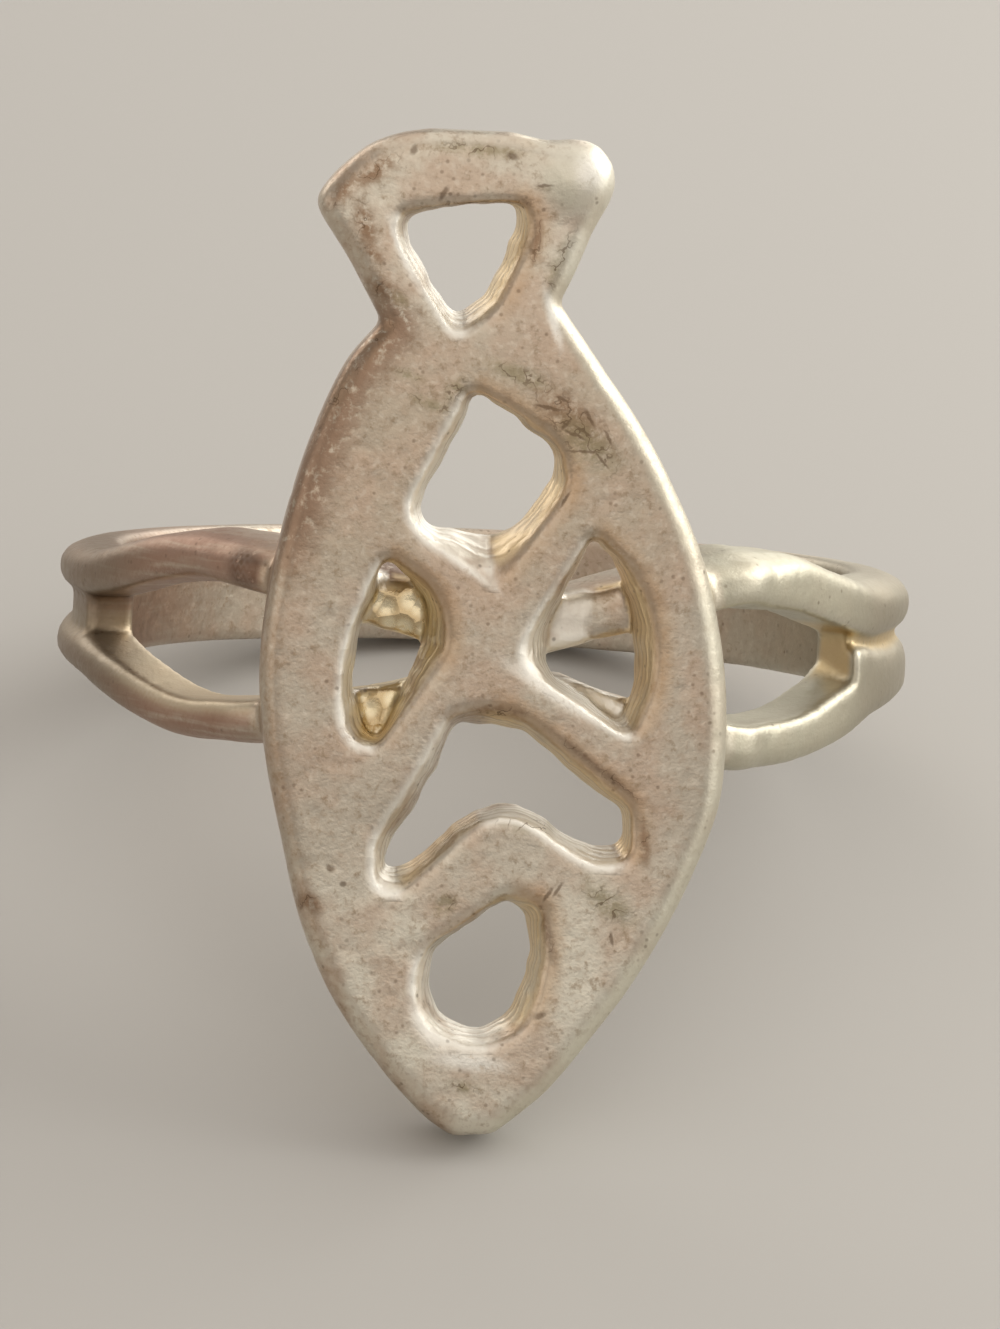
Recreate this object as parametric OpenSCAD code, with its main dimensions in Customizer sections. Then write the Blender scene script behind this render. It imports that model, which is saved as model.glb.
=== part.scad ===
// Cutout ring: a pierced fish plate on a shank of two wires, cast in one piece.
// Millimetres. It lies on its side as it would rest: plate to the front (-Y),
// tail up, head tip and the far side of the shank on the floor (Z = 0).

/* [Finger and shank] */
// Radius of the finger bore
bore_r = 8.65; // [7.5:0.05:11]
// Radial thickness of the wires round the back
wire_t = 1.5; // [1:0.05:2.5]
// Height of the recessed web between the wires, from the bore
web_h = 1.15; // [0.5:0.05:1.4]
// Where the web starts on the right, degrees from the plate
web_from = 61.5; // [40:0.5:80]
// Where the web ends on the left, degrees from the plate
web_to = 286.5; // [280:0.5:320]

/* [Plate] */
// Thickness of the plate
plate_t = 1.65; // [1:0.05:2.5]
// How deep the wires are sunk in the back of the plate
bite = 0.1; // [0.05:0.01:0.5]
// Radius of the gentle bow of the plate across its width
bow_r = 30; // [15:1:200]
// Rounding of the front rim
rim_r = 0.42; // [0.1:0.02:0.7]
// Turn of the fish against the shank, degrees
plate_turn = 2.8; // [-10:0.1:10]
// Radius of the cast lump on the tail's right corner
lump_r = 0.62; // [0.3:0.02:0.8]

/* [Rest] */
// Lean of the finger axis when the ring lies on its side, degrees
rest_lean = 25.15; // [0:0.1:60]
// Lift of the bore centre above the floor
rest_lift = 5.31; // [0:0.01:20]
// Shift to the middle of the footprint, front to back
rest_y = 2.64; // [-10:0.01:10]

/* [Hidden] */
SILVER = [0.68, 0.62, 0.54];
back_y = bore_r + wire_t - bite;
front_y = back_y + plate_t;

// Rungs of the tail, top edge first: left x, left z, right x, right z, edge drop
TAIL = [
  [-1.60, 11.92,  0.20, 11.84, 0.50],
  [-2.30, 11.81,  1.05, 11.64, 0.22],
  [-2.95, 11.56,  1.90, 11.55, 0.06],
  [-3.55, 11.10,  2.25, 11.22, 0],
  [-4.00, 10.60,  2.38, 10.90, 0],
  [-4.09, 10.18,  2.36, 10.50, 0],
  [-3.71,  9.52,  1.96,  9.58, 0],
  [-3.36,  8.94,  1.62,  8.80, 0],
  [-2.70,  7.66,  1.25,  8.07, 0]];

// Rungs of the body, neck first, same columns
BODY = [
  [-2.70,  7.66,  1.25,  8.07, 0],
  [-3.50,  6.71,  2.12,  6.76, 0],
  [-4.21,  5.22,  3.15,  5.20, 0],
  [-4.73,  3.71,  3.93,  3.68, 0],
  [-5.13,  2.15,  4.51,  2.23, 0],
  [-5.38,  0.59,  4.88,  0.55, 0],
  [-5.43, -0.75,  5.02, -0.91, 0],
  [-5.30, -2.21,  4.98, -2.26, 0],
  [-5.04, -3.56,  4.76, -3.55, 0],
  [-4.60, -5.59,  3.84, -5.64, 0],
  [-4.00, -7.17,  2.88, -7.22, 0],
  [-3.33, -8.31,  2.03, -8.34, 0],
  [-2.50, -9.40,  1.09, -9.47, 0.02],
  [-1.77, -10.18, 0.26, -10.19, 0.12],
  [-1.16, -10.61, -0.26, -10.57, 0.45]];

// Corners of each cutout at the back: x, z, rounding length,
// then how far the front lip lies from the back corner in x and z
TAIL_HOLE = [
  [-2.08,  9.98, 0.18, -0.27,  0.15],
  [-0.70, 10.24, 0.50, -0.02,  0.06],
  [ 0.28, 10.24, 0.12,  0.15,  0.08],
  [ 0.32,  9.66, 0.40,  0.35, -0.03],
  [-0.50,  8.09, 0.40,  0.26, -0.28],
  [-1.08,  7.80, 0.15, -0.01, -0.45],
  [-2.09,  9.47, 0.45, -0.27,  0.02]];
KITE = [
  [-0.57,  6.02, 0.12, -0.20,  0.20],
  [ 0.42,  5.36, 0.40,  0.10,  0.16],
  [ 1.15,  4.70, 0.45,  0.12,  0.24],
  [ 1.13,  4.10, 0.45,  0.36, -0.15],
  [ 0.08,  2.94, 0.12, -0.30, -1.15],
  [-1.60,  3.08, 0.15, -0.28, -0.11],
  [-1.83,  3.46, 0.15, -0.32,  0.10]];
LEFT_FIN = [
  [-2.60,  2.36, 0.22, -0.04,  0.20],
  [-1.65,  1.37, 0.45,  0.21,  0.37],
  [-1.83,  0.47, 0.40,  0.64, -0.07],
  [-2.78, -1.79, 0.22, -0.17, -0.09],
  [-3.24, -1.22, 0.60, -0.42, -0.27],
  [-3.28,  0.25, 0.80, -0.31,  0.16]];
RIGHT_FIN = [
  [ 2.06,  2.82, 0.18, -0.06,  0.18],
  [ 2.84,  1.57, 0.80,  0.43,  0.14],
  [ 2.94, -0.68, 0.90,  0.57,  0.40],
  [ 2.64, -1.44, 0.15,  0.19, -0.20],
  [ 1.05, -0.18, 0.35, -0.75,  0.25],
  [ 1.05,  0.68, 0.40, -0.48,  0.16]];
CHEVRON = [
  [-0.98, -1.40, 0.12, -0.24,  0.32],
  [-0.30, -1.47, 0.30,  0.02,  0.66],
  [ 0.46, -1.55, 0.35,  0.10,  0.33],
  [ 1.50, -2.57, 0.60,  0.24,  0.34],
  [ 2.72, -3.38, 0.32,  0.16,  0.29],
  [ 2.66, -4.15, 0.28,  0.19, -0.31],
  [ 1.77, -4.14, 0.45,  0.13, -0.36],
  [-0.03, -2.82, 1.05, -0.07, -0.14],
  [-2.29, -4.67, 0.30, -0.09, -0.44],
  [-2.62, -4.64, 0.10, -0.29, -0.28],
  [-2.55, -4.25, 0.15, -0.36,  0.36],
  [-1.66, -2.88, 0.60, -0.36,  0.32]];
OVAL = [
  [ 0.08, -5.36, 0.14, -0.03,  0.31],
  [ 0.51, -5.70, 0.20,  0.39,  0.38],
  [ 0.64, -6.68, 0.45,  0.33,  0.12],
  [ 0.08, -7.93, 0.60,  0.49, -0.21],
  [-0.60, -8.34, 0.40,  0.00, -0.30],
  [-1.40, -8.00, 0.40, -0.40, -0.14],
  [-1.59, -7.35, 0.30, -0.48,  0.13],
  [-1.62, -6.60, 0.30, -0.18,  0.28]];

// The wires round the ring: angle from the plate, middle and half width of the
// upper wire and of the lower one, radial thickness, then how far the upper wire
// is bevelled to its inner side and how far both are rounded
WIRE = [
  [-175, 0.72, 0.70, -0.72, 0.72, wire_t,        0,   1],
  [-150, 0.72, 0.70, -0.72, 0.72, wire_t,        0,   1],
  [-120, 0.76, 0.68, -0.74, 0.70, wire_t,        0,   1],
  [ -92, 0.88, 0.60, -0.90, 0.60, wire_t,        0,   1],
  [ -80, 0.93, 0.58, -0.97, 0.56, wire_t,        0,   0.9],
  [ -72, 0.97, 0.57, -1.06, 0.55, wire_t,        0,   0.6],
  [ -65, 1.15, 0.57, -1.30, 0.54, wire_t,        0,   0.3],
  [ -60, 1.33, 0.57, -1.48, 0.54, wire_t,        0,   0.1],
  [ -54, 1.56, 0.58, -1.70, 0.52, wire_t + 0.02, 0.2, 0],
  [ -48, 1.72, 0.61, -1.88, 0.50, wire_t + 0.10, 0.6, 0],
  [ -43, 1.79, 0.65, -1.92, 0.49, wire_t + 0.24, 1,   0],
  [ -38, 1.76, 0.67, -1.86, 0.50, wire_t + 0.46, 1,   0],
  [ -30, 1.70, 0.66, -1.74, 0.54, wire_t + 0.76, 0.5, 0],
  [ -15, 1.26, 0.72, -1.32, 0.62, wire_t + 0.24, 0,   0],
  [   0, 0.70, 0.72, -0.68, 0.72, wire_t,        0,   0],
  [  15, 1.32, 0.66, -1.32, 0.62, wire_t + 0.24, 0,   0],
  [  30, 1.88, 0.70, -1.86, 0.57, wire_t + 0.76, 0.8, 0],
  [  36, 1.86, 0.72, -1.88, 0.56, wire_t + 0.50, 0.6, 0],
  [  42, 1.82, 0.68, -1.83, 0.57, wire_t + 0.28, 0.1, 0],
  [  47, 1.62, 0.66, -1.70, 0.60, wire_t + 0.14, 0,   0],
  [  52, 1.40, 0.65, -1.49, 0.66, wire_t + 0.06, 0,   0],
  [  57, 1.21, 0.65, -1.27, 0.69, wire_t + 0.02, 0,   0],
  [  61, 1.06, 0.67, -1.01, 0.79, wire_t,        0,   0.2],
  [  64, 0.99, 0.71, -0.75, 0.92, wire_t,        0,   0.6],
  [  70, 0.97, 0.73, -0.67, 0.91, wire_t,        0,   1],
  [  85, 0.93, 0.69, -0.59, 0.83, wire_t,        0,   1],
  [ 120, 0.80, 0.72, -0.68, 0.76, wire_t,        0,   1],
  [ 150, 0.72, 0.72, -0.72, 0.72, wire_t,        0,   1],
  [ 175, 0.72, 0.70, -0.72, 0.72, wire_t,        0,   1]];

// Sections of a wire above its foot: across (+1 the outer side), height (1 the crest)
FLAT = [
  [-1.00, 0.90], [-0.90, 0.98], [-0.40, 1.00], [0.30, 1.00],
  [0.72, 0.93], [0.94, 0.72], [1.00, 0.30], [1.00, -0.15]];
BEVELLED = [
  [-0.76, 0.70], [-0.60, 0.95], [-0.40, 1.00], [0.22, 1.00],
  [0.66, 0.86], [0.90, 0.58], [1.00, 0.22], [1.00, -0.15]];
ROUND = [
  [-0.88, 0.78], [-0.60, 0.94], [-0.18, 1.00], [0.28, 0.99],
  [0.68, 0.86], [0.92, 0.62], [1.00, 0.25], [1.00, -0.15]];

// How a cutout's wall widens: depth, share of the way from back corner to front lip,
// and whether it follows the bow of the plate there
FLARE = [
  [back_y - 0.80,  0,    0],
  [back_y + 0.45,  0.15, 1],
  [front_y - 0.45, 0.55, 1],
  [front_y + 0.60, 1.60, 0]];
LIP_ROUNDING = 0.12;

// Middle of the cast lump on the tail, and how far the wires' feet lap each other
LUMP_AT = [1.64, 10.86];
LAP = 0.08;

// A smooth curve through the rows of a table, t counted in rows
function row_at(rows, i) =
  i < 0 ? 2 * rows[0] - rows[1]
  : i > len(rows) - 1 ? 2 * rows[len(rows) - 1] - rows[len(rows) - 2]
  : rows[i];
function curve(rows, t) =
  let (i = min(floor(t), len(rows) - 2), s = t - i,
       a = row_at(rows, i - 1), b = rows[i], c = rows[i + 1], d = row_at(rows, i + 2))
  0.5 * (2 * b + s * (c - a) + s * s * (2 * a - 5 * b + 4 * c - d)
         + s * s * s * (3 * b - a - 3 * c + d));
function along(rows, k) =
  [for (i = [0 : (len(rows) - 1) * k]) curve(rows, i / k)];

// Depth of a point of the plate, bowed across its width
function bowed(y, x) = -(y - x * x / (2 * bow_r));

// One section of the plate on a rung
function plate_ring(rung) =
  let (l = [rung[0], rung[1]], r = [rung[2], rung[3]], drop = rung[4],
       w = norm(r - l), dir = (r - l) / w, e = min(rim_r, w * 0.3),
       f = front_y - drop, b = back_y + drop * 0.4,
       rim = [for (a = [0 : 30 : 90]) [e * (1 - cos(a)), f - e * (1 - sin(a))]],
       left = [for (p = rim) [l + dir * p[0], p[1]]],
       mid = [for (u = [0.3, 0.5, 0.7]) [l + dir * (w * u), f]],
       right = [for (i = [3 : -1 : 0]) [r - dir * rim[i][0], rim[i][1]]],
       back = [for (u = [1, 0.7, 0.5, 0.3, 0]) [l + dir * (w * u), b]])
  [for (q = concat(left, mid, right, back)) [q[0][0], bowed(q[1], q[0][0]), q[0][1]]];

// A closed outline with each corner rounded from its rounding length
function rounded(rows, k = 4) =
  [for (i = [0 : len(rows) - 1])
    let (n = len(rows), p = rows[i], q = rows[(i + n - 1) % n], s = rows[(i + 1) % n],
         a = [q[0] - p[0], q[1] - p[1]], b = [s[0] - p[0], s[1] - p[1]],
         ta = min(p[2], norm(a) * 0.49) / norm(a), tb = min(p[2], norm(b) * 0.49) / norm(b))
    for (j = [0 : k]) let (v = j / k) [p[0], p[1]] + (1 - v) * (1 - v) * ta * a + v * v * tb * b];
function lip(rows, f) =
  [for (p = rows) [p[0] + f * p[3], p[1] + f * p[4], p[2] + f * LIP_ROUNDING]];

// A skin over rings with the same number of points, first and last ring capped
module skin(rings, closed = false) {
  m = len(rings[0]);
  n = len(rings);
  last = closed ? n - 1 : n - 2;
  polyhedron(
    points = [for (r = rings) for (p = r) p],
    faces = concat(
      [for (i = [0 : last]) for (j = [0 : m - 1])
        [i * m + j, ((i + 1) % n) * m + (j + 1) % m, ((i + 1) % n) * m + j]],
      [for (i = [0 : last]) for (j = [0 : m - 1])
        [i * m + j, i * m + (j + 1) % m, ((i + 1) % n) * m + (j + 1) % m]],
      closed ? [] : [[for (j = [m - 1 : -1 : 0]) j],
                     [for (j = [0 : m - 1]) (n - 1) * m + j]]),
    convexity = 6);
}

module cutout(rows) {
  skin([for (s = FLARE)
    [for (p = rounded(lip(rows, s[1]))) [p[0], s[2] == 1 ? bowed(s[0], p[0]) : -s[0], p[1]]]]);
}

module fish_plate() {
  rungs = concat(along(TAIL, 4), [for (i = [1 : (len(BODY) - 1) * 4]) curve(BODY, i / 4)]);
  difference() {
    skin([for (r = rungs) plate_ring(r)]);
    for (h = [TAIL_HOLE, KITE, LEFT_FIN, RIGHT_FIN, CHEVRON, OVAL]) cutout(h);
  }
}

// The cast lump, a low dome that stands a little proud of the corner
module tail_lump() {
  translate([LUMP_AT[0], 0.45 * lump_r - front_y, LUMP_AT[1]]) rotate([90, 0, 0])
    intersection() {
      cylinder(h = lump_r, r = lump_r, $fn = 48);
      translate([0, 0, -lump_r * 0.8]) sphere(r = lump_r * 1.5, $fn = 48);
    }
}

// Whether the web runs between the wires at an angle
function webbed(a) = a > web_from || a < web_to - 360;

// The section of a wire at one row. Beside the web its foot reaches past the
// middle of the gap and stands as high as the web.
function wire_ring(row, side) =
  let (a = row[0], thick = row[5], h = web_h / thick,
       middle = side > 0 ? row[1] : row[3], half = side > 0 ? row[2] : row[4],
       inner = middle - side * half,
       seam = (row[1] - row[2] + row[3] + row[4]) / 2 - side * LAP,
       foot = webbed(a) ? [[seam, -0.15], [seam, h - 0.04], [inner + side * 0.05 * half, h]]
                        : [[inner, -0.15], [inner, 0.12], [inner + side * 0.02 * half, 0.5]],
       bevel = side > 0 ? row[6] : 0,
       body = FLAT * (1 - bevel - row[7]) + BEVELLED * bevel + ROUND * row[7],
       pts = concat(foot, [for (p = body) [middle + side * p[0] * half, p[1]]]),
       m = len(pts))
  [for (j = [0 : m - 1])
    let (p = pts[side > 0 ? j : m - 1 - j], r = bore_r + p[1] * thick)
    [r * sin(a), -r * cos(a), p[0]]];

// side is 1 for the wire nearer the tail and -1 for the one nearer the head
module wire(side) {
  skin([for (row = along(WIRE, 3)) wire_ring(row, side)], closed = true);
}

module ring() {
  color(SILVER)
    translate([0, rest_y, rest_lift]) rotate([-rest_lean, 0, 0])
      difference() {
        union() {
          rotate([0, -plate_turn, 0]) {
            fish_plate();
            tail_lump();
          }
          wire(1);
          wire(-1);
        }
        translate([0, 0, -5]) cylinder(h = 10, r = bore_r, $fn = 96);
      }
}

ring();
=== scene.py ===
"""A cutout ring: a pierced fish plate on a shank of two wires, cast in one piece of silver."""
import math

import bpy
import numpy as np
from mathutils import Matrix, Vector


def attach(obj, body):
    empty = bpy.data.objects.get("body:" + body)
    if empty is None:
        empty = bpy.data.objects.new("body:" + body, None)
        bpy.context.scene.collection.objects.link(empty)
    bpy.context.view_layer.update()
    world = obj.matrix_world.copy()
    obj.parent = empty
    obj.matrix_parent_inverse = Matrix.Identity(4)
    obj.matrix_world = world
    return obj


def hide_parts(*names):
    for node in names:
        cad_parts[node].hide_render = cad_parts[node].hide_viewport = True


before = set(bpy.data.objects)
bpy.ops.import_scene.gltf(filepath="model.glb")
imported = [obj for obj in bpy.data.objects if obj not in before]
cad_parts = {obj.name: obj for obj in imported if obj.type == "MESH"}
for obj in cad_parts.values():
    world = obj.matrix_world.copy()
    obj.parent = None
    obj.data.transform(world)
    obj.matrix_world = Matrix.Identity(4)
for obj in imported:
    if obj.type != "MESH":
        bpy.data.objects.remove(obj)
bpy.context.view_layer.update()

# The fish plate.
# A plate about 1.65 mm thick in the shape of a fish with a fanned tail, cast with the
# shank, gently bowed across, its outer rim worn round and its six cutouts left as cast.
PLATE_THICK = 1.65
PLATE_BACK = 10.05  # from the middle of the finger hole
BOW_RADIUS = 30.0
OUTER_RIM, HOLE_RIM, BACK_RIM = 0.46, 0.12, 0.14  # roundings, mm
TAIL = [  # rungs, top edge first: left x, left z, right x, right z
    (-1.60, 11.92, 0.20, 11.84), (-2.30, 11.81, 1.05, 11.64), (-2.95, 11.56, 1.90, 11.55),
    (-3.55, 11.10, 2.25, 11.22), (-4.00, 10.60, 2.38, 10.90), (-4.09, 10.18, 2.36, 10.50),
    (-3.71, 9.52, 1.96, 9.58), (-3.36, 8.94, 1.62, 8.80), (-2.70, 7.66, 1.25, 8.07)]
BODY = [  # the same, from the neck to the head tip
    (-2.70, 7.66, 1.25, 8.07), (-3.50, 6.71, 2.12, 6.76), (-4.21, 5.22, 3.15, 5.20),
    (-4.73, 3.71, 3.93, 3.68), (-5.13, 2.15, 4.51, 2.23), (-5.38, 0.59, 4.88, 0.55),
    (-5.43, -0.75, 5.02, -0.91), (-5.30, -2.21, 4.98, -2.26), (-5.04, -3.56, 4.76, -3.55),
    (-4.60, -5.59, 3.84, -5.64), (-4.00, -7.17, 2.88, -7.22), (-3.33, -8.31, 2.03, -8.34),
    (-2.50, -9.40, 1.09, -9.47), (-1.77, -10.18, 0.26, -10.19), (-1.16, -10.61, -0.26, -10.57)]
CUTOUTS = {  # corners at the back: x, z, rounding length, how far the front lip lies from it
    "tail hole": [(-2.08, 9.98, 0.18, -0.27, 0.15), (-0.70, 10.24, 0.50, -0.02, 0.06),
                  (0.28, 10.24, 0.12, 0.15, 0.08),
                  (0.32, 9.66, 0.40, 0.35, -0.03), (-0.50, 8.09, 0.40, 0.26, -0.28),
                  (-1.08, 7.80, 0.15, -0.01, -0.45), (-2.09, 9.47, 0.45, -0.27, 0.02)],
    "kite": [(-0.57, 6.02, 0.12, -0.20, 0.20), (0.42, 5.36, 0.40, 0.10, 0.16),
             (1.15, 4.70, 0.45, 0.12, 0.24), (1.13, 4.10, 0.45, 0.36, -0.15),
             (0.08, 2.94, 0.12, -0.30, -1.15),
             (-1.60, 3.08, 0.15, -0.28, -0.11), (-1.83, 3.46, 0.15, -0.32, 0.10)],
    "left fin": [(-2.60, 2.36, 0.22, -0.04, 0.20), (-1.65, 1.37, 0.45, 0.21, 0.37),
                 (-1.83, 0.47, 0.40, 0.64, -0.07), (-2.78, -1.79, 0.22, -0.17, -0.09),
                 (-3.24, -1.22, 0.60, -0.42, -0.27), (-3.28, 0.25, 0.80, -0.31, 0.16)],
    "right fin": [(2.06, 2.82, 0.18, -0.06, 0.18), (2.84, 1.57, 0.80, 0.43, 0.14),
                  (2.94, -0.68, 0.90, 0.57, 0.40), (2.64, -1.44, 0.15, 0.19, -0.20),
                  (1.05, -0.18, 0.35, -0.75, 0.25), (1.05, 0.68, 0.40, -0.48, 0.16)],
    "chevron": [(-0.98, -1.40, 0.12, -0.24, 0.32), (-0.30, -1.47, 0.30, 0.02, 0.66),
                (0.46, -1.55, 0.35, 0.10, 0.33),
                (1.50, -2.57, 0.60, 0.24, 0.34), (2.72, -3.38, 0.32, 0.16, 0.29),
                (2.66, -4.15, 0.28, 0.19, -0.31), (1.77, -4.14, 0.45, 0.13, -0.36),
                (-0.03, -2.82, 1.05, -0.07, -0.14), (-2.29, -4.67, 0.30, -0.09, -0.44),
                (-2.62, -4.64, 0.10, -0.29, -0.28), (-2.55, -4.25, 0.15, -0.36, 0.36),
                (-1.66, -2.88, 0.60, -0.36, 0.32)],
    "oval": [(0.08, -5.36, 0.14, -0.03, 0.31), (0.51, -5.70, 0.20, 0.39, 0.38),
             (0.64, -6.68, 0.45, 0.33, 0.12), (0.08, -7.93, 0.60, 0.49, -0.21),
             (-0.60, -8.34, 0.40, 0.00, -0.30), (-1.40, -8.00, 0.40, -0.40, -0.14),
             (-1.59, -7.35, 0.30, -0.48, 0.13), (-1.62, -6.60, 0.30, -0.18, 0.28)]}
# From the plate's back, mm, and how far the wall has gone there to the front lip's outline.
FLARE_AT, FLARE_SHARE = [-0.8, 0.45, 1.2, 1.65, 2.2], [0, 0.15, 0.55, 1, 1.6]
LUMP = (1.62, -11.10, 10.82)  # middle of the cast lump on the tail's right corner
LUMP_RADIUS, LUMP_FILLET = 0.58, 0.7

# The wax is held as distances to its surface on a fine grid, below 0 inside, in
# millimetres: X across the shank, Z along the finger, the plate in front at -Y.
CELL = 0.115
PLATE_BEFORE = -9.3  # the plate is worked out in front of this Y only
wax_low = np.array([-10.8, -12.6, -11.4])
wax_high = np.array([10.8, 10.8, 12.8])
xs, ys, zs = (np.arange(a, b, CELL) for a, b in zip(wax_low, wax_high))
wax = np.full((len(xs), len(ys), len(zs)), 1.0, np.float32)


def through(rows, steps):
    """A smooth curve through the rows of a table."""
    rows = np.array(rows, float)
    padded = np.vstack([2 * rows[0] - rows[1], rows, 2 * rows[-1] - rows[-2]])
    made = []
    for i in range(len(rows) - 1):
        a, b, c, d = padded[i : i + 4]
        for s in np.arange(steps) / steps:
            made.append(0.5 * (2 * b + s * (c - a) + s**2 * (2 * a - 5 * b + 4 * c - d)
                               + s**3 * (3 * b - a - 3 * c + d)))
    return np.array(made + [rows[-1]])


LIP_LONGER = 0.12  # how much longer a corner's rounding is at the front lip, mm


def rounded(corners, share, steps=5):
    """A cutout's outline, share 0 at the back and 1 at the front lip."""
    rows = np.array(corners, float)
    at = rows[:, :2] + share * rows[:, 3:]
    made = []
    for i, p in enumerate(at):
        to_last, to_next = at[i - 1] - p, at[(i + 1) % len(at)] - p
        reach = rows[i, 2] + share * LIP_LONGER
        ta = min(reach / np.hypot(*to_last), 0.49)
        tb = min(reach / np.hypot(*to_next), 0.49)
        for v in np.linspace(0, 1, steps):
            made.append(p + (1 - v) ** 2 * ta * to_last + v**2 * tb * to_next)
    return np.array(made)


def distance_to(outline, px, pz):
    """Distance to a closed outline, below 0 inside it."""
    nearest = np.full(px.shape, 1e9)
    inside = np.zeros(px.shape, bool)
    for (ax, az), (bx, bz) in zip(outline, np.roll(outline, -1, 0)):
        ex, ez = bx - ax, bz - az
        t = np.clip(((px - ax) * ex + (pz - az) * ez) / (ex * ex + ez * ez + 1e-12), 0, 1)
        nearest = np.minimum(nearest, (px - ax - ex * t) ** 2 + (pz - az - ez * t) ** 2)
        if az != bz:
            inside ^= ((az > pz) != (bz > pz)) & (px < ax + (pz - az) * ex / ez)
    return np.where(inside, -1, 1) * np.sqrt(nearest)


def shared(a, b, rim):
    """What lies inside both, with the edge between them rounded."""
    return np.minimum(np.maximum(a, b) + rim, 0) + np.hypot(
        np.maximum(a + rim, 0), np.maximum(b + rim, 0)) - rim


def flowed(a, b, fillet):
    """What lies inside either, with metal flowed into the corner between them."""
    near = np.maximum(fillet - np.abs(a - b), 0) / fillet
    return np.minimum(a, b) - near * near * fillet / 4


# The fish stands a little turned against the shank.
PLATE_TURN = math.radians(2.8)
ring_x, ring_z = np.meshgrid(xs, zs, indexing="ij")
fish_x = ring_x * math.cos(PLATE_TURN) + ring_z * math.sin(PLATE_TURN)
fish_z = ring_z * math.cos(PLATE_TURN) - ring_x * math.sin(PLATE_TURN)
rungs = np.vstack([through(TAIL, 6), through(BODY, 6)[1:]])
outline = np.vstack([rungs[:, :2], rungs[::-1, 2:]])
to_outline = distance_to(outline, fish_x, fish_z)
hole_back = {n: distance_to(rounded(rows, 0), fish_x, fish_z) for n, rows in CUTOUTS.items()}
hole_front = {n: distance_to(rounded(rows, 1), fish_x, fish_z) for n, rows in CUTOUTS.items()}

depth_rows = ys < PLATE_BEFORE
y = ys[depth_rows][None, :, None]
bow = (fish_x**2 / (2 * BOW_RADIUS))[:, None, :]
over_front = bow - (PLATE_BACK + PLATE_THICK) - y
under_back = y + PLATE_BACK - bow
plate = shared(to_outline[:, None, :], over_front, OUTER_RIM)
plate = shared(plate, under_back, BACK_RIM)
# A cutout widens slowly up its wall and then faster towards its front lip.
share = np.interp(PLATE_THICK + over_front, FLARE_AT, FLARE_SHARE)
for n in CUTOUTS:
    back, front = hole_back[n][:, None, :], hole_front[n][:, None, :]
    plate = shared(plate, -(back + share * (front - back)), HOLE_RIM)
lump = np.sqrt((fish_x - LUMP[0])[:, None, :] ** 2 + (y - LUMP[1]) ** 2
               + (fish_z - LUMP[2])[:, None, :] ** 2) - LUMP_RADIUS
wax[:, depth_rows, :] = flowed(plate, lump, LUMP_FILLET)

# The shank.
# Two wires side by side round the back, cast as one with a low web between them; at the
# shoulders they part, and each runs on its own behind the plate and is fused to it.
BORE_RADIUS = 8.65
WIRES = [  # degrees from the plate; middle and half width of the upper and of the lower wire;
    # thickness; how far the upper one is bevelled to its inner side, and both rounded
    (-180, 0.72, 0.70, -0.72, 0.72, 1.50, 0, 1), (-150, 0.72, 0.70, -0.72, 0.72, 1.50, 0, 1),
    (-120, 0.76, 0.68, -0.74, 0.70, 1.50, 0, 1), (-92, 0.88, 0.60, -0.90, 0.60, 1.50, 0, 1),
    (-80, 0.93, 0.58, -0.97, 0.56, 1.50, 0, 0.9), (-72, 0.97, 0.57, -1.06, 0.55, 1.50, 0, 0.6),
    (-65, 1.15, 0.57, -1.30, 0.54, 1.50, 0, 0.3), (-60, 1.33, 0.57, -1.48, 0.54, 1.50, 0, 0.1),
    (-54, 1.56, 0.58, -1.70, 0.52, 1.52, 0.2, 0), (-48, 1.72, 0.61, -1.88, 0.50, 1.60, 0.6, 0),
    (-43, 1.79, 0.65, -1.92, 0.49, 1.74, 1, 0), (-38, 1.76, 0.67, -1.86, 0.50, 1.96, 1, 0),
    (-30, 1.70, 0.66, -1.74, 0.54, 2.26, 0.5, 0), (-15, 1.26, 0.72, -1.32, 0.62, 1.74, 0, 0),
    (0, 0.70, 0.72, -0.68, 0.72, 1.50, 0, 0), (15, 1.32, 0.66, -1.32, 0.62, 1.74, 0, 0),
    (30, 1.88, 0.70, -1.86, 0.57, 2.26, 0.8, 0), (36, 1.86, 0.72, -1.88, 0.56, 2.00, 0.6, 0),
    (42, 1.82, 0.68, -1.83, 0.57, 1.78, 0.1, 0), (47, 1.62, 0.66, -1.70, 0.60, 1.64, 0, 0),
    (52, 1.40, 0.65, -1.49, 0.66, 1.56, 0, 0), (57, 1.21, 0.65, -1.27, 0.69, 1.52, 0, 0),
    (61, 1.06, 0.67, -1.01, 0.79, 1.50, 0, 0.2), (64, 0.99, 0.71, -0.75, 0.92, 1.50, 0, 0.6),
    (70, 0.97, 0.73, -0.67, 0.91, 1.50, 0, 1), (85, 0.93, 0.69, -0.59, 0.83, 1.50, 0, 1),
    (120, 0.80, 0.72, -0.68, 0.76, 1.50, 0, 1), (150, 0.72, 0.72, -0.72, 0.72, 1.50, 0, 1),
    (180, 0.72, 0.70, -0.72, 0.72, 1.50, 0, 1)]
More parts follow.
